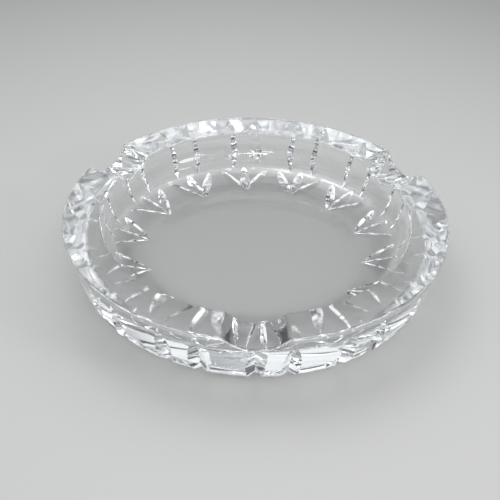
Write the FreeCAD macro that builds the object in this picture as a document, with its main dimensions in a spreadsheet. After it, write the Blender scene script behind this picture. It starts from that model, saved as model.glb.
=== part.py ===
import FreeCAD, Part
import Sketcher
import os

# A round pressed-crystal dish with three rests: one solid of clear glass.
# Units are millimetres and degrees. The origin is the middle of the base, +Z is up,
# and the first rest points to -Y.

DOC = FreeCAD.newDocument("crystal_dish")

# Driving dimensions: alias, value, meaning.
DIMENSIONS = [
    # the turned blank
    ("rim_diameter", 160.0, "outside diameter at the top"),
    ("dish_height", 30.0, "base to the outer edge of the rim"),
    ("rim_width", 16.0, "land between the outer edge and the bowl"),
    ("rim_fall", 1.4, "how far the land drops towards the bowl"),
    ("wall_taper", 13.5, "lean of the outer wall from upright"),
    ("base_diameter", 94.0, "flat circle that the dish stands on"),
    ("underside_slope", 8.7, "rise of the underside from the base outwards"),
    ("floor_thickness", 12.0, "glass under the bowl"),
    ("bowl_taper", 8.0, "lean of the bowl wall from upright"),
    ("shoulder_fillet", 8.0, "round between wall and underside"),
    ("bowl_fillet", 16.0, "round between bowl wall and floor"),
    ("outer_lip_fillet", 0.8, "outer edge of the rim"),
    ("inner_lip_fillet", 1.6, "inner edge of the rim"),
    ("seam_turn", 5.0, "turn of the outline, so that the blank's seam misses every cut"),
    # the rests across the rim
    ("rest_count", 3, "rests round the rim"),
    ("rest_radius", 14.4, "radius of each U-shaped rest"),
    ("rest_depth", 6.0, "depth of a rest at the outer edge"),
    # the cutting pattern
    ("unit_count", 14, "repeats of the pattern round the dish"),
    ("mitre_angle", 106.0, "included angle of every V cut"),
    ("pair_half_angle", 4.95, "turn from a unit's middle to each of its two leaves"),
    ("leaf_wheel_radius", 100.0, "radius of the wheel that cuts the leaves"),
    ("leaf_middle_radius", 73.85, "middle of a leaf's two points, from the axis"),
    ("leaf_middle_height", 14.3, "the same middle, above the base"),
    ("leaf_lean", 24.8, "lean from upright of the line joining those points"),
    ("leaf_bite", 1.3, "how far the wheel runs in behind that line"),
    ("ray_length", 21.5, "length of each ray of a fan"),
    ("ray_depth", 1.75, "depth of a ray at its middle"),
    ("ray_spread", 31.0, "turn between the middle ray and each side ray"),
]


def make_sheet():
    """The spreadsheet that drives every size."""
    sheet = DOC.addObject("Spreadsheet::Sheet", "dims")
    for row, (alias, value, meaning) in enumerate(DIMENSIONS, start=1):
        sheet.set("A%d" % row, alias)
        sheet.set("B%d" % row, str(value))
        sheet.set("C%d" % row, meaning)
        sheet.setAlias("B%d" % row, alias)
    DOC.recompute()


def origin_item(body, role):
    """The body's own origin plane or axis, by its role."""
    for item in body.Origin.OriginFeatures:
        if item.Role == role:
            return item
    raise ValueError("no origin item " + role)


def new_sketch(body, name, plane):
    """An empty sketch on one of the body's origin planes."""
    sketch = body.newObject("Sketcher::SketchObject", name)
    sketch.AttachmentSupport = [(origin_item(body, plane), "")]
    sketch.MapMode = "FlatFace"
    return sketch


def pin(sketch, line, kind, guess, expression):
    """Hold the start of a line at a distance from the origin; None holds it on the axis."""
    if expression is None:
        axis = -2 if kind == "DistanceX" else -1
        sketch.addConstraint(Sketcher.Constraint("PointOnObject", line, 1, axis))
        return
    number = sketch.addConstraint(Sketcher.Constraint(kind, -1, 1, line, 1, guess))
    sketch.setExpression("Constraints[%d]" % number, expression)


def closed_outline(sketch, corners):
    """A loop of straight lines. Each corner is a first guess, then expressions for X and Y."""
    guesses = [FreeCAD.Vector(guess[0], guess[1], 0) for guess, _, _ in corners]
    count = len(corners)
    for index in range(count):
        sketch.addGeometry(Part.LineSegment(guesses[index], guesses[(index + 1) % count]), False)
    for index in range(count):
        joint = Sketcher.Constraint("Coincident", index, 2, (index + 1) % count, 1)
        sketch.addConstraint(joint)
    for index, (guess, across, up) in enumerate(corners):
        pin(sketch, index, "DistanceX", guess[0], across)
        pin(sketch, index, "DistanceY", guess[1], up)


def round_circles(body, before, name, radius_alias, wanted):
    """Round the full-circle edges of a turned shape that pass the test `wanted(r, z)`."""
    names = []
    for number, edge in enumerate(before.Shape.Edges, start=1):
        curve = edge.Curve
        if isinstance(curve, Part.Circle) and wanted(curve.Radius, curve.Center.z):
            names.append("Edge%d" % number)
    fillet = body.newObject("PartDesign::Fillet", name)
    fillet.Base = (before, names)
    fillet.setExpression("Radius", "dims." + radius_alias)
    DOC.recompute()
    return fillet


def polar(body, name, features, count_alias):
    """Repeat cuts evenly round the dish's axis."""
    pattern = body.newObject("PartDesign::PolarPattern", name)
    pattern.Originals = features
    pattern.Axis = (origin_item(body, "Z_Axis"), [""])
    pattern.Angle = 360.0
    pattern.setExpression("Occurrences", "dims." + count_alias)
    body.Tip = pattern
    DOC.recompute()


def turned_blank(body):
    """The dish before any cutting: one outline turned round the axis, then its edges rounded."""
    outline = new_sketch(body, "outline", "XZ_Plane")
    sketch_up = FreeCAD.Vector(0, 1, 0)
    outline.AttachmentOffset = FreeCAD.Placement(FreeCAD.Vector(), FreeCAD.Rotation(sketch_up, 1))
    outline.setExpression("AttachmentOffset.Rotation.Angle", "dims.seam_turn * 1 deg")
    lip = "dims.rim_diameter / 2"
    foot = "dims.base_diameter / 2"
    lean = "tan(dims.wall_taper * 1 deg)"
    rise = "tan(dims.underside_slope * 1 deg)"
    # the corner where the leaning wall meets the rising underside
    shoulder = ("(%s - (dims.dish_height + %s * %s) * %s) / (1 - %s * %s)"
                % (lip, foot, rise, lean, rise, lean))
    shoulder_height = "(%s - %s) * %s" % (shoulder, foot, rise)
    land = "%s - dims.rim_width" % lip
    land_height = "dims.dish_height - dims.rim_fall"
    floor_edge = ("%s - (%s - dims.floor_thickness) * tan(dims.bowl_taper * 1 deg)"
                  % (land, land_height))
    closed_outline(outline, [
        ((0, 0), None, None),
        ((47, 0), foot, None),
        ((74, 4), shoulder, shoulder_height),
        ((80, 30), lip, "dims.dish_height"),
        ((64, 28), land, land_height),
        ((56, 12), floor_edge, "dims.floor_thickness"),
        ((0, 12), None, "dims.floor_thickness"),
    ])
    blank = body.newObject("PartDesign::Revolution", "blank")
    blank.Profile = outline
    blank.ReferenceAxis = (outline, ["V_Axis"])
    blank.Angle = 360.0
    DOC.recompute()

    sizes = DOC.dims
    top = sizes.dish_height
    floor = sizes.floor_thickness
    rounds = [
        ("shoulder_round", "shoulder_fillet",
         lambda r, z: 0.1 < z < floor - 0.1 and r > sizes.base_diameter / 2),
        ("bowl_round", "bowl_fillet", lambda r, z: abs(z - floor) < 0.01),
        ("outer_lip_round", "outer_lip_fillet", lambda r, z: abs(z - top) < 0.01),
        ("inner_lip_round", "inner_lip_fillet", lambda r, z: abs(z - top + sizes.rim_fall) < 0.01),
    ]
    last = blank
    for name, alias, wanted in rounds:
        last = round_circles(body, last, name, alias, wanted)
    body.Tip = last


def rests(body):
    """U-shaped rests running straight out across the rim, the first one towards -Y."""
    section = new_sketch(body, "rest_section", "XZ_Plane")
    circle = Part.Circle(FreeCAD.Vector(0, 38, 0), FreeCAD.Vector(0, 0, 1), 14)
    section.addGeometry(circle, False)
    section.addConstraint(Sketcher.Constraint("PointOnObject", 0, 3, -2))
    size = section.addConstraint(Sketcher.Constraint("Radius", 0, 14))
    section.setExpression("Constraints[%d]" % size, "dims.rest_radius")
    lift = section.addConstraint(Sketcher.Constraint("DistanceY", -1, 1, 0, 3, 38))
    section.setExpression("Constraints[%d]" % lift,
                          "dims.dish_height - dims.rest_depth + dims.rest_radius")
    rest = body.newObject("PartDesign::Pocket", "rest")
    rest.Profile = section
    rest.Type = "ThroughAll"
    rest.Reversed = True
    body.Tip = rest
    DOC.recompute()
    polar(body, "rests_round_rim", [rest], "rest_count")


def wheel_cut(body, name, centre, turn, radius, depth):
    """One V cut, as a grinding wheel leaves it.

    `centre` holds the expressions for the middle of the wheel, `turn` is the azimuth of the
    upright plane that the wheel spins in, and `depth` is more than the cut's own depth.
    """
    profile = new_sketch(body, name + "_profile", "XY_Plane")
    for axis, place in zip("xyz", centre):
        profile.setExpression("AttachmentOffset.Base." + axis, place)
    profile.setExpression("AttachmentOffset.Rotation.Angle", turn)
    half_width = "%s * tan(dims.mitre_angle * 0.5 deg)" % depth
    closed_outline(profile, [
        ((-60, 0), "-(%s)" % radius, None),
        ((-54, -6), "%s - (%s)" % (depth, radius), "-(%s)" % half_width),
        ((-54, 6), "%s - (%s)" % (depth, radius), half_width),
    ])
    cut = body.newObject("PartDesign::Groove", name)
    cut.Profile = profile
    cut.ReferenceAxis = (profile, ["V_Axis"])
    cut.Angle = 360.0
    cut.Refine = False
    body.Tip = cut
    DOC.recompute()
    return cut


def leaf_cut(body, name, side):
    """One tall leaf on the outer wall, on one side of its unit's middle."""
    turn = "(270 + dims.pair_half_angle * %d) * 1 deg" % (1 + side)
    reach = ("(dims.leaf_middle_radius + (dims.leaf_wheel_radius - dims.leaf_bite)"
             " * cos(dims.leaf_lean * 1 deg))")
    height = ("dims.leaf_middle_height - (dims.leaf_wheel_radius - dims.leaf_bite)"
              " * sin(dims.leaf_lean * 1 deg)")
    centre = (reach + " * cos(" + turn + ")", reach + " * sin(" + turn + ")", height)
    return wheel_cut(body, name, centre, turn, "dims.leaf_wheel_radius", "8")


def ray_cut(body, name, side):
    """One ray of the fan under a unit: it starts at the edge of the base and runs outwards."""
    unit_turn = "(270 + dims.pair_half_angle) * 1 deg"
    turn = "(270 + dims.pair_half_angle + dims.ray_spread * %d) * 1 deg" % side
    tilt = "(dims.underside_slope * cos(dims.ray_spread * %d deg) * 1 deg)" % side
    radius = "(dims.ray_length ^ 2 / 4 + dims.ray_depth ^ 2) / (2 * dims.ray_depth)"
    arm = "(%s - dims.ray_depth)" % radius
    along = "(dims.ray_length / 2 + %s * sin(%s))" % (arm, tilt)
    foot = "dims.base_diameter / 2"
    centre = ("%s * cos(%s) + %s * cos(%s)" % (foot, unit_turn, along, turn),
              "%s * sin(%s) + %s * sin(%s)" % (foot, unit_turn, along, turn),
              "dims.ray_length / 2 * tan(%s) - %s * cos(%s)" % (tilt, arm, tilt))
    return wheel_cut(body, name, centre, turn, radius, "5")


def leaves(body):
    """The pair of leaves on the wall above each unit's middle."""
    pair = [leaf_cut(body, "leaf_left", -1), leaf_cut(body, "leaf_right", 1)]
    polar(body, "leaves_round_wall", pair, "unit_count")


def fans(body):
    """Three rays under each pair of leaves, each ray repeated round the underside."""
    for name, side in (("ray_left", -1), ("ray_middle", 0), ("ray_right", 1)):
        ray = ray_cut(body, name, side)
        polar(body, name + "s_round_base", [ray], "unit_count")


def check(document):
    """Stop if any object failed, or if a shape is empty or broken."""
    for item in document.Objects:
        if "Invalid" in item.State or "Error" in item.State:
            raise RuntimeError(item.Name + " is " + str(item.State))
        shape = getattr(item, "Shape", None)
        if item.isDerivedFrom("PartDesign::Feature") and (shape.isNull() or not shape.isValid()):
            raise RuntimeError(item.Name + " has a bad shape")


def main():
    make_sheet()
    body = DOC.addObject("PartDesign::Body", "dish")
    body.Label = "dish"
    body.Placement = FreeCAD.Placement()
    volumes = []
    for step in (turned_blank, leaves, rests, fans):
        step(body)
        volumes.append(body.Shape.Volume)
    DOC.recompute()
    check(DOC)
    if volumes != sorted(volumes, reverse=True) or len(set(volumes)) != len(volumes):
        raise RuntimeError("a cut took nothing away: " + str(volumes))
    os.makedirs("parts", exist_ok=True)
    body.Shape.exportStep("parts/dish.step")
    box = body.Shape.BoundBox
    print("volumes", [round(v) for v in volumes], "solids", len(body.Shape.Solids))
    print("size", round(box.XLength, 2), round(box.YLength, 2), round(box.ZLength, 2))


main()
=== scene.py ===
"""A round crystal ashtray on a pale floor in soft studio light.

The glass is one closed surface: the dish's outline turned round its axis and sunk by the V cuts
of the pattern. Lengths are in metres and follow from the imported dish's own box. Angles are in
radians, and heights are measured up from the base.
"""
import math

import bpy
import numpy as np
from mathutils import Matrix, Vector


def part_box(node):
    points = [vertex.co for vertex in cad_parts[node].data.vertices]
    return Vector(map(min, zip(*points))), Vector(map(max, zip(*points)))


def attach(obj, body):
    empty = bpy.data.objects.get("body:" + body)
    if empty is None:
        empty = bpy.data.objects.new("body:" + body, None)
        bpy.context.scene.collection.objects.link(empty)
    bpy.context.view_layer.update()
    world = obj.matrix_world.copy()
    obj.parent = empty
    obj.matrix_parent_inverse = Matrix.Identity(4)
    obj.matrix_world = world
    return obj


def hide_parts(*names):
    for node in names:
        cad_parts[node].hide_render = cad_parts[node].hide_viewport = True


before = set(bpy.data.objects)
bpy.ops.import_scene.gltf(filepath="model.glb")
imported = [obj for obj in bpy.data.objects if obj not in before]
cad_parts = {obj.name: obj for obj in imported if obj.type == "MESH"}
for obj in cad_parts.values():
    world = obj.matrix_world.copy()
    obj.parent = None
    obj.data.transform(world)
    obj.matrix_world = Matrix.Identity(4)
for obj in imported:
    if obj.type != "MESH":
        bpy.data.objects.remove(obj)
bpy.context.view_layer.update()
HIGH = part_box("dish")[1]

# The turned shape, in parts of the rim's radius.
RADIUS = HIGH[0]
HEIGHT = HIGH[2]
LAND_WIDTH = 0.200 * RADIUS
LAND_FALL = 0.017 * RADIUS
BASE_RADIUS = 0.588 * RADIUS
UNDERSIDE_SLOPE = math.radians(8.7)
WALL_TAPER = math.radians(12.8)
SHOULDER_ROUND = 0.10 * RADIUS
FLOOR_THICKNESS = 0.150 * RADIUS
BOWL_FLAT_RADIUS = 0.560 * RADIUS
OUTER_LIP = 0.010 * RADIUS
INNER_LIP = 0.022 * RADIUS
LIP_OVERSHOOT = 0.1 * OUTER_LIP

# The rests across the rim.
REST_COUNT = 3
FIRST_REST = math.radians(270.0)
REST_RADIUS = 0.180 * RADIUS
REST_DEPTH = 0.075 * RADIUS
REST_EDGE = 0.020 * RADIUS
REST_REACH = 0.045 * RADIUS

# The cut pattern: a pair of leaves over a fan of three rays.
UNITS = 14
HALF_UNIT = math.pi / UNITS
LEAF_TURN = math.radians(4.95)
FIRST_UNIT = FIRST_REST + LEAF_TURN
HALF_MITRE = math.radians(53.0)
LEAF_TOP = 0.035 * RADIUS
LEAF_FOOT_RADIUS = 0.845 * RADIUS
LEAF_DEPTH = 0.033 * RADIUS
LEAF_FULLNESS = 1.1
RAY_LENGTH = 0.275 * RADIUS
RAY_DEPTH = 0.022 * RADIUS
RAY_FULLNESS = 0.55
RAY_SPREAD = math.radians(31.0)

# Columns between the edges and valleys of the cuts, over half a unit.
COLUMNS = (3, 3, 3, 3, 2, 3, 3, 3)
LEAST_GAP = math.radians(0.12)
LEAF_SHARE = 0.52
EDGE_SHARE = 0.5
BLEND_ROWS = 6

# Rows of the surface in each part of the outline.
BASE_ROWS = 8
UNDERSIDE_ROWS = 24
SHOULDER_ROWS = 17
WALL_ROWS = 22
OUTER_LIP_ROWS = 7
LAND_ROWS = 9
INNER_LIP_ROWS = 8
BOWL_ROWS = 20
FLOOR_ROWS = 9

# The look of the glass and of what stands round it.
GLASS_SHADE = (0.995, 0.998, 1.0, 1.0)
GLASS_INDEX = 1.55
RIPPLE_SIZE = 0.30 * RADIUS
RIPPLE_HEIGHT = 0.0002 * RADIUS
WORN_ROUGHNESS = 0.13
WEAR_START = HEIGHT - 1.3 * LAND_FALL
WEAR_FULL = HEIGHT - 0.9 * LAND_FALL
FLOOR_GAP = 0.0002
FLOOR_HALF = 30.0 * RADIUS
FLOOR_SHADE = (0.60, 0.60, 0.59, 1.0)
# Painted shade: the floor's colour darkens from the pale shade near the dish to the far shade
# over these reaches, a painted pool of light round the dish.
FAR_FLOOR_PAINTED_SHADE = (0.30, 0.30, 0.30, 1.0)
FLOOR_PAINTED_LIGHT_REACH = 1.2 * RADIUS
FLOOR_PAINTED_SHADE_REACH = 7.5 * RADIUS
FLOOR_ROUGHNESS = 0.55
CREASE = math.radians(16.0)

ROOM_SHADE = (0.07, 0.071, 0.075, 1.0)
SKY_SHADE = (0.97, 0.99, 1.0, 1.0)
ROOM_TOP = math.radians(22.0)
SKY_START = math.radians(40.0)
WORLD_STRENGTH = 1.0
GLASS_BOUNCES = 40

# Each softbox: name, place, width and depth in rim radii, and power in watts.
SOFTBOXES = (
    ("key", (-2.0, 2.5, 8.5), 5.0, 5.0, 0.7),
    ("strip", (0.5, -5.0, 5.4), 3.0, 0.3, 0.4),
    ("fill", (5.5, -3.0, 4.0), 1.5, 1.5, 0.4),
)

# The camera: where it stands in rim radii from the middle of the rim, and how it is turned.
VIEW_DISTANCE = 4.095 * RADIUS
VIEW_ELEVATION = math.radians(34.376)
VIEW_AZIMUTH = math.radians(-1.1)
VIEW_ROLL = math.radians(1.837)
VIEW_YAW = math.radians(-0.349)
VIEW_PITCH = math.radians(-3.157)
FOCAL_SHARE = 1.5626
SENSOR_WIDTH = 36.0


def line(start, end, count):
    """Points evenly along a straight line, without its last point."""
    share = np.linspace(0.0, 1.0, count, endpoint=False)[:, None]
    return np.array(start) * (1.0 - share) + np.array(end) * share


def rounded_corner(before, corner, after, radius, count):
    """An arc tangent to both lines at a corner: centre plus radius times a unit vector that
    turns evenly from one line's normal to the other's. Both ends are left in."""
    into = (np.array(before) - corner) / np.linalg.norm(np.array(before) - corner)
    out = (np.array(after) - corner) / np.linalg.norm(np.array(after) - corner)
    half = math.acos(float(into @ out)) / 2.0
    middle = (into + out) / np.linalg.norm(into + out)
    centre = corner + middle * radius / math.sin(half)
    first = corner + into * radius / math.tan(half) - centre
    last = corner + out * radius / math.tan(half) - centre
    start = math.atan2(first[1], first[0])
    sweep = (math.atan2(last[1], last[0]) - start + math.pi) % (2.0 * math.pi) - math.pi
    angle = start + sweep * np.linspace(0.0, 1.0, count)
    return centre + radius * np.stack([np.cos(angle), np.sin(angle)], axis=1)


def outline():
    """The blank's outline as points (radius, height), from the base, round the outside, over
    the rim and down the bowl to its floor, short of the axis at both ends. The bowl is a
    quarter of an ellipse. Also returns the first row that can carry cuts and the first above
    them."""
    lean, rise = math.tan(WALL_TAPER), math.tan(UNDERSIDE_SLOPE)
    foot = np.array([BASE_RADIUS, 0.0])
    lip = np.array([RADIUS + LIP_OVERSHOOT, HEIGHT])
    low = (lip[0] - (HEIGHT + foot[0] * rise) * lean) / (1.0 - rise * lean)
    shoulder = np.array([low, (low - foot[0]) * rise])
    land = np.array([RADIUS - LAND_WIDTH, HEIGHT - LAND_FALL])
    drop = np.array([land[0], FLOOR_THICKNESS])

    shoulder_arc = rounded_corner(foot, shoulder, lip, SHOULDER_ROUND, SHOULDER_ROWS)
    lip_arc = rounded_corner(shoulder, lip, land, OUTER_LIP, OUTER_LIP_ROWS)
    edge_arc = rounded_corner(lip, land, drop, INNER_LIP, INNER_LIP_ROWS)
    parts = [
        line((0.0, 0.0), foot, BASE_ROWS)[1:],
        line(foot, shoulder_arc[0], UNDERSIDE_ROWS),
        shoulder_arc[:-1],
        line(shoulder_arc[-1], lip_arc[0], WALL_ROWS),
        lip_arc[:-1],
        line(lip_arc[-1], edge_arc[0], LAND_ROWS),
        edge_arc[:-1],
    ]
    turn = np.linspace(0.0, math.pi / 2.0, BOWL_ROWS)
    across = (edge_arc[-1][0] - BOWL_FLAT_RADIUS) * np.cos(turn) + BOWL_FLAT_RADIUS
    down = edge_arc[-1][1] - (edge_arc[-1][1] - FLOOR_THICKNESS) * np.sin(turn)
    parts.append(np.stack([across, down], axis=1)[:-1])
    flat = line((BOWL_FLAT_RADIUS, FLOOR_THICKNESS), (0.0, FLOOR_THICKNESS), FLOOR_ROWS)
    parts.append(flat[:-1])
    sizes = np.cumsum([len(part) for part in parts])
    cut_rows = (sizes[0], sizes[3])
    return np.concatenate(parts), cut_rows


def outward(points):
    """Unit normals of the outline: its tangent turned a quarter turn to the right."""
    tangent = np.gradient(points, axis=0)
    normal = np.stack([tangent[:, 1], -tangent[:, 0]], axis=1)
    return normal / np.linalg.norm(normal, axis=1)[:, None]


def leaf_depths(points):
    """A leaf's valley: a parabola of the distance along the outline, from its foot under the
    shoulder to its top below the lip, raised to a power that sets how full its ends are."""
    step = np.linalg.norm(np.diff(points, axis=0), axis=1)
    travel = np.concatenate([[0.0], np.cumsum(step)])
    rising = slice(0, int(np.argmax(points[:, 0])) + 1)
    foot = np.interp(LEAF_FOOT_RADIUS, points[rising, 0], travel[rising])
    top = np.interp(HEIGHT - LEAF_TOP, points[rising, 1], travel[rising])
    share = (travel - foot) / (top - foot)
    return LEAF_DEPTH * np.maximum(4.0 * share * (1.0 - share), 0.0) ** LEAF_FULLNESS


def ray_depths(travel):
    """A ray's valley: a parabola, deepest halfway along the ray, raised to a power below one to
    fill out its ends."""
    share = travel / RAY_LENGTH
    return RAY_DEPTH * np.maximum(4.0 * share * (1.0 - share), 0.0) ** RAY_FULLNESS


def side_ray(radius):
    """Where a side ray lies at each radius: its turn from the unit's middle, how far along it
    that is, and the angle between the ray and the local radius."""
    reach = np.sqrt(np.maximum(radius ** 2 - (BASE_RADIUS * math.sin(RAY_SPREAD)) ** 2, 0.0))
    travel = np.clip(reach - BASE_RADIUS * math.cos(RAY_SPREAD), 0.0, RAY_LENGTH)
    turn = np.arctan2(travel * math.sin(RAY_SPREAD), BASE_RADIUS + travel * math.cos(RAY_SPREAD))
    return turn, travel, RAY_SPREAD - turn


def column_turns(points, cut_rows, leaf, middle, side):
    """Turn of every column from the unit's middle, row by row, over half a unit. On rows with
    cuts the columns follow the cuts' valleys and edges, and elsewhere they relax to even."""
    radius = np.maximum(points[:, 0], BASE_RADIUS * 0.5)
    open_half = math.tan(HALF_MITRE)
    turn, _, slant = side_ray(points[:, 0])
    leaf_turn = np.minimum(LEAF_TURN, LEAF_SHARE * turn)
    leaf_half = leaf * open_half / radius
    middle_half = middle * open_half / radius
    side_half = side * open_half / (radius * np.cos(slant))
    marks = np.stack([
        np.zeros_like(radius),
        np.minimum(middle_half, EDGE_SHARE * turn),
        leaf_turn - leaf_half,
        leaf_turn,
        leaf_turn + leaf_half,
        np.maximum(turn - side_half, EDGE_SHARE * turn),
        turn,
        turn + side_half,
        np.full_like(radius, HALF_UNIT),
    ], axis=1)
    for mark in range(1, marks.shape[1] - 1):
        marks[:, mark] = np.maximum(marks[:, mark], marks[:, mark - 1] + LEAST_GAP)
    first, last = cut_rows
    rows = np.arange(len(points))
    rows_used = np.clip(rows, first, last - 1)
    marks = marks[rows_used]
    pieces = []
    for index, count in enumerate(COLUMNS):
        share = np.linspace(0.0, 1.0, count, endpoint=False)[None, :]
        pieces.append(marks[:, index, None] * (1.0 - share) + marks[:, index + 1, None] * share)
    pieces.append(marks[:, -1:])
    turns = np.concatenate(pieces, axis=1)
    even = np.linspace(0.0, HALF_UNIT, turns.shape[1])[None, :]
    away = np.maximum(first - rows, rows - last + 1).clip(0, BLEND_ROWS)[:, None] / BLEND_ROWS
    return turns * (1.0 - away) + even * away


def rest_top(x, y, top):
    """Height of the rim's top where the rests cross it: the lower of the land and the U of the
    nearest rest, blended over a short length so that the edge is soft."""
    for index in range(REST_COUNT):
        aim = FIRST_REST + index * 2.0 * math.pi / REST_COUNT
        ahead = x * math.cos(aim) + y * math.sin(aim)
        offset = np.abs(x * math.sin(aim) - y * math.cos(aim))
        inside = np.sqrt(np.maximum(REST_RADIUS ** 2 - offset ** 2, 0.0))
        groove = HEIGHT - REST_DEPTH + REST_RADIUS - inside
        groove = np.where((ahead > 0.0) & (offset < REST_RADIUS), groove, HEIGHT + REST_RADIUS)
        mix = np.clip(0.5 + 0.5 * (groove - top) / REST_EDGE, 0.0, 1.0)
        top = groove * (1.0 - mix) + top * mix - REST_EDGE * mix * (1.0 - mix)
    return top


def glass_surface():
    """The whole dish as a grid: rows follow the outline and columns go round.

    A point is its outline point, moved in along the outline's normal by the deepest cut there.
    A cut's depth is its valley's depth less the distance from the valley over the tangent of
    half the mitre. Near the rim, heights are then scaled so that the top follows the rests, and
    the wall is drawn in by the drop times the tangent of its taper, so that it stays a cone.
    """
    points, cut_rows = outline()
    normals = outward(points)
    rows = np.arange(len(points))
    can_cut = (rows >= cut_rows[0]) & (rows < cut_rows[1])
    side_turn, travel, slant = side_ray(points[:, 0])
    below = can_cut & (points[:, 1] < FLOOR_THICKNESS * 0.5)
    leaf = np.where(can_cut, leaf_depths(points), 0.0)
    middle = np.where(below, ray_depths(points[:, 0] - BASE_RADIUS), 0.0)
    side = np.where(below, ray_depths(travel), 0.0)

    half = column_turns(points, cut_rows, leaf, middle, side)
    unit = np.concatenate([-half[:, :0:-1], half[:, :-1]], axis=1)
    radius = points[:, 0, None]
    turn = np.abs(unit)
    spread = math.tan(HALF_MITRE)
    depth = np.maximum.reduce([
        middle[:, None] - radius * turn / spread,
        leaf[:, None] - radius * np.abs(turn - LEAF_TURN) / spread,
        side[:, None] - radius * np.abs(turn - side_turn[:, None])
        * np.cos(slant)[:, None] / spread,
        np.zeros_like(turn),
    ])
    out = np.tile(radius - depth * normals[:, 0, None], UNITS)
    up = np.tile(points[:, 1, None] - depth * normals[:, 1, None], UNITS)
    starts = FIRST_UNIT + np.repeat(np.arange(UNITS) * 2.0 * HALF_UNIT, unit.shape[1])
    angle = np.tile(unit, UNITS) + starts[None, :]
    x, y = out * np.cos(angle), out * np.sin(angle)

    inner, outer = RADIUS - LAND_WIDTH, RADIUS
    share = np.clip((out - inner) / (outer - inner), 0.0, 1.0)
    top = HEIGHT - LAND_FALL * (1.0 - share)
    floor = HEIGHT - REST_DEPTH - REST_REACH
    scale = (rest_top(x, y, top) - floor) / (top - floor)
    on_rim = (out > inner - LAND_WIDTH) & (up > floor)
    lowered = np.where(on_rim, floor + (up - floor) * scale, up)
    on_cone = np.where(rows[:, None] < cut_rows[1], 1.0, share)
    out = out - (up - lowered) * math.tan(WALL_TAPER) * on_cone
    return np.stack([out * np.cos(angle), out * np.sin(angle), lowered], axis=2)


def closed_mesh(name, grid, bottom, top):
    """A mesh from a grid whose columns close on themselves, with a point at each end."""
    rows, columns = grid.shape[:2]
    body = rows * columns
    vertices = np.concatenate([grid.reshape(-1, 3), [bottom, top]])
    row, column = np.meshgrid(np.arange(rows - 1), np.arange(columns), indexing="ij")
    here = row * columns + column
    beside = row * columns + (column + 1) % columns
    quads = np.stack([here, beside, beside + columns, here + columns], axis=2).reshape(-1, 4)
    ring = np.arange(columns)
    following = (ring + 1) % columns
    lower = np.stack([np.full(columns, body), following, ring], axis=1)
    last = (rows - 1) * columns
    upper = np.stack([last + ring, last + following, np.full(columns, body + 1)], axis=1)
    mesh = bpy.data.meshes.new(name)
    faces = quads.tolist() + lower.tolist() + upper.tolist()
    mesh.from_pydata(vertices.tolist(), [], faces)
    mesh.update()
    return mesh


def crystal():
    """Clear polished glass with a faint ripple, rougher where the rim is worn."""
    material = bpy.data.materials.new("crystal")
    material.use_nodes = True
    nodes, links = material.node_tree.nodes, material.node_tree.links
    nodes.clear()
    place = nodes.new("ShaderNodeTexCoord")
    ripple = nodes.new("ShaderNodeTexNoise")
    ripple.inputs["Scale"].default_value = 1.0 / RIPPLE_SIZE
    ripple.inputs["Detail"].default_value = 1.0
    links.new(place.outputs["Object"], ripple.inputs["Vector"])
    bump = nodes.new("ShaderNodeBump")
    bump.inputs["Strength"].default_value = 1.0
    bump.inputs["Distance"].default_value = RIPPLE_HEIGHT
    links.new(ripple.outputs["Fac"], bump.inputs["Height"])
    glass = nodes.new("ShaderNodeBsdfGlass")
    glass.inputs["Color"].default_value = GLASS_SHADE
    glass.inputs["IOR"].default_value = GLASS_INDEX
    links.new(bump.outputs["Normal"], glass.inputs["Normal"])
    split = nodes.new("ShaderNodeSeparateXYZ")
    links.new(place.outputs["Object"], split.inputs["Vector"])
    wear = nodes.new("ShaderNodeMapRange")
    wear.inputs["From Min"].default_value = WEAR_START
    wear.inputs["From Max"].default_value = WEAR_FULL
    wear.inputs["To Max"].default_value = WORN_ROUGHNESS
    links.new(split.outputs["Z"], wear.inputs["Value"])
    links.new(wear.outputs["Result"], glass.inputs["Roughness"])
    output = nodes.new("ShaderNodeOutputMaterial")
    links.new(glass.outputs["BSDF"], output.inputs["Surface"])
    return material


def floor_paint():
    """A pale, dull floor with painted shade. Its colour falls off to a darker shade away from
    the dish, a painted pool of light round the dish in place of the lamps' falloff.
    """
    material = bpy.data.materials.new("floor")
    material.use_nodes = True
    nodes, links = material.node_tree.nodes, material.node_tree.links
    surface = nodes["Principled BSDF"]
    surface.inputs["Roughness"].default_value = FLOOR_ROUGHNESS
    place = nodes.new("ShaderNodeTexCoord")
    reach = nodes.new("ShaderNodeVectorMath")
    reach.operation = "LENGTH"
    links.new(place.outputs["Object"], reach.inputs[0])
    # Painted shade: the floor is painted darker with distance from the dish, standing in for the
    # lamps' light falling off.
    painted_falloff = nodes.new("ShaderNodeMapRange")
    painted_falloff.interpolation_type = "SMOOTHSTEP"
    painted_falloff.inputs["From Min"].default_value = FLOOR_PAINTED_LIGHT_REACH
    painted_falloff.inputs["From Max"].default_value = FLOOR_PAINTED_SHADE_REACH
    links.new(reach.outputs["Value"], painted_falloff.inputs["Value"])
    shade = nodes.new("ShaderNodeMixRGB")
    shade.inputs["Color1"].default_value = FLOOR_SHADE
    shade.inputs["Color2"].default_value = FAR_FLOOR_PAINTED_SHADE
    links.new(painted_falloff.outputs["Result"], shade.inputs["Fac"])
    links.new(shade.outputs["Color"], surface.inputs["Base Color"])
    return material


def dish_glass(material):
    """The dish's visual piece."""
    floor_middle = (0.0, 0.0, FLOOR_THICKNESS)
    mesh = closed_mesh("dish_glass", glass_surface(), (0.0, 0.0, 0.0), floor_middle)
    mesh.shade_smooth()
    mesh.set_sharp_from_angle(angle=CREASE)
    mesh.materials.append(material)
    piece = bpy.data.objects.new("dish_glass", mesh)
    bpy.context.scene.collection.objects.link(piece)
    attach(piece, "root")
    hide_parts("dish")
    return piece


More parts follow.
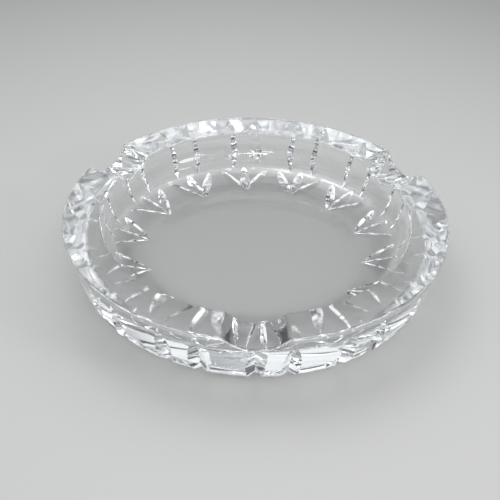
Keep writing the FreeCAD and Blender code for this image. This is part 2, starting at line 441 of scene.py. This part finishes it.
def stage_floor(material):
    """The floor the dish stands on, a hair under its base."""
    corners = [(-1, -1), (1, -1), (1, 1), (-1, 1)]
    mesh = bpy.data.meshes.new("floor")
    vertices = [(a * FLOOR_HALF, b * FLOOR_HALF, -FLOOR_GAP) for a, b in corners]
    mesh.from_pydata(vertices, [], [(0, 1, 2, 3)])
    mesh.materials.append(material)
    floor = bpy.data.objects.new("floor", mesh)
    bpy.context.scene.collection.objects.link(floor)
    return floor


def add_softbox(name, place, width, depth, power):
    """A rectangular lamp aimed at the middle of the dish. Places are in rim radii."""
    lamp = bpy.data.lights.new(name, "AREA")
    lamp.shape = "RECTANGLE"
    lamp.size = width * RADIUS
    lamp.size_y = depth * RADIUS
    lamp.energy = power
    holder = bpy.data.objects.new(name, lamp)
    holder.location = Vector(place) * RADIUS
    holder.rotation_euler = (-Vector(place)).to_track_quat("-Z", "Y").to_euler()
    bpy.context.scene.collection.objects.link(holder)
    return holder


def studio_light():
    """The softboxes, and a world that is bright overhead and dim near the horizon."""
    world = bpy.data.worlds.new("studio")
    world.use_nodes = True
    nodes, links = world.node_tree.nodes, world.node_tree.links
    aim = nodes.new("ShaderNodeTexCoord")
    split = nodes.new("ShaderNodeSeparateXYZ")
    ramp = nodes.new("ShaderNodeValToRGB")
    links.new(aim.outputs["Generated"], split.inputs["Vector"])
    links.new(split.outputs["Z"], ramp.inputs["Fac"])
    for place, shade in zip((ramp.color_ramp.elements[0], ramp.color_ramp.elements[1]),
                            (ROOM_SHADE, SKY_SHADE)):
        place.color = shade
    ramp.color_ramp.elements[0].position = math.sin(ROOM_TOP)
    ramp.color_ramp.elements[1].position = math.sin(SKY_START)
    links.new(ramp.outputs["Color"], nodes["Background"].inputs["Color"])
    nodes["Background"].inputs["Strength"].default_value = WORLD_STRENGTH
    bpy.context.scene.world = world
    for softbox in SOFTBOXES:
        add_softbox(*softbox)


def stand_camera():
    """The camera: tilted down on the dish, with the small turn and roll of a hand-held view."""
    elevation, azimuth = VIEW_ELEVATION, VIEW_AZIMUTH
    place = Vector((0.0, -math.cos(elevation), math.sin(elevation))) * VIEW_DISTANCE
    forward = -place.normalized()
    right = Vector((1.0, 0.0, 0.0))
    up = Vector((0.0, math.sin(elevation), math.cos(elevation)))
    forward, right = (
        forward * math.cos(VIEW_YAW) + right * math.sin(VIEW_YAW),
        right * math.cos(VIEW_YAW) - forward * math.sin(VIEW_YAW),
    )
    forward, up = (
        forward * math.cos(VIEW_PITCH) + up * math.sin(VIEW_PITCH),
        up * math.cos(VIEW_PITCH) - forward * math.sin(VIEW_PITCH),
    )
    right, up = (
        right * math.cos(VIEW_ROLL) + up * math.sin(VIEW_ROLL),
        up * math.cos(VIEW_ROLL) - right * math.sin(VIEW_ROLL),
    )
    turn = Matrix.Rotation(azimuth, 3, "Z")
    columns = [turn @ right, turn @ up, -(turn @ forward)]
    matrix = Matrix([
        (columns[0][i], columns[1][i], columns[2][i]) for i in range(3)
    ]).to_4x4()
    matrix.translation = turn @ place + Vector((0.0, 0.0, HEIGHT))
    camera = bpy.data.cameras.new("camera")
    camera.sensor_width = SENSOR_WIDTH
    camera.lens = FOCAL_SHARE * SENSOR_WIDTH
    holder = bpy.data.objects.new("camera", camera)
    holder.matrix_world = matrix
    bpy.context.scene.collection.objects.link(holder)
    bpy.context.scene.camera = holder
    return holder


glass = crystal()
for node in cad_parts.values():
    node.data.materials.clear()
    node.data.materials.append(glass)
dish_glass(glass)
stage_floor(floor_paint())
studio_light()
stand_camera()
paths = bpy.context.scene.cycles
paths.max_bounces = GLASS_BOUNCES
paths.transmission_bounces = GLASS_BOUNCES
paths.glossy_bounces = GLASS_BOUNCES
bpy.context.scene.view_settings.view_transform = "Standard"
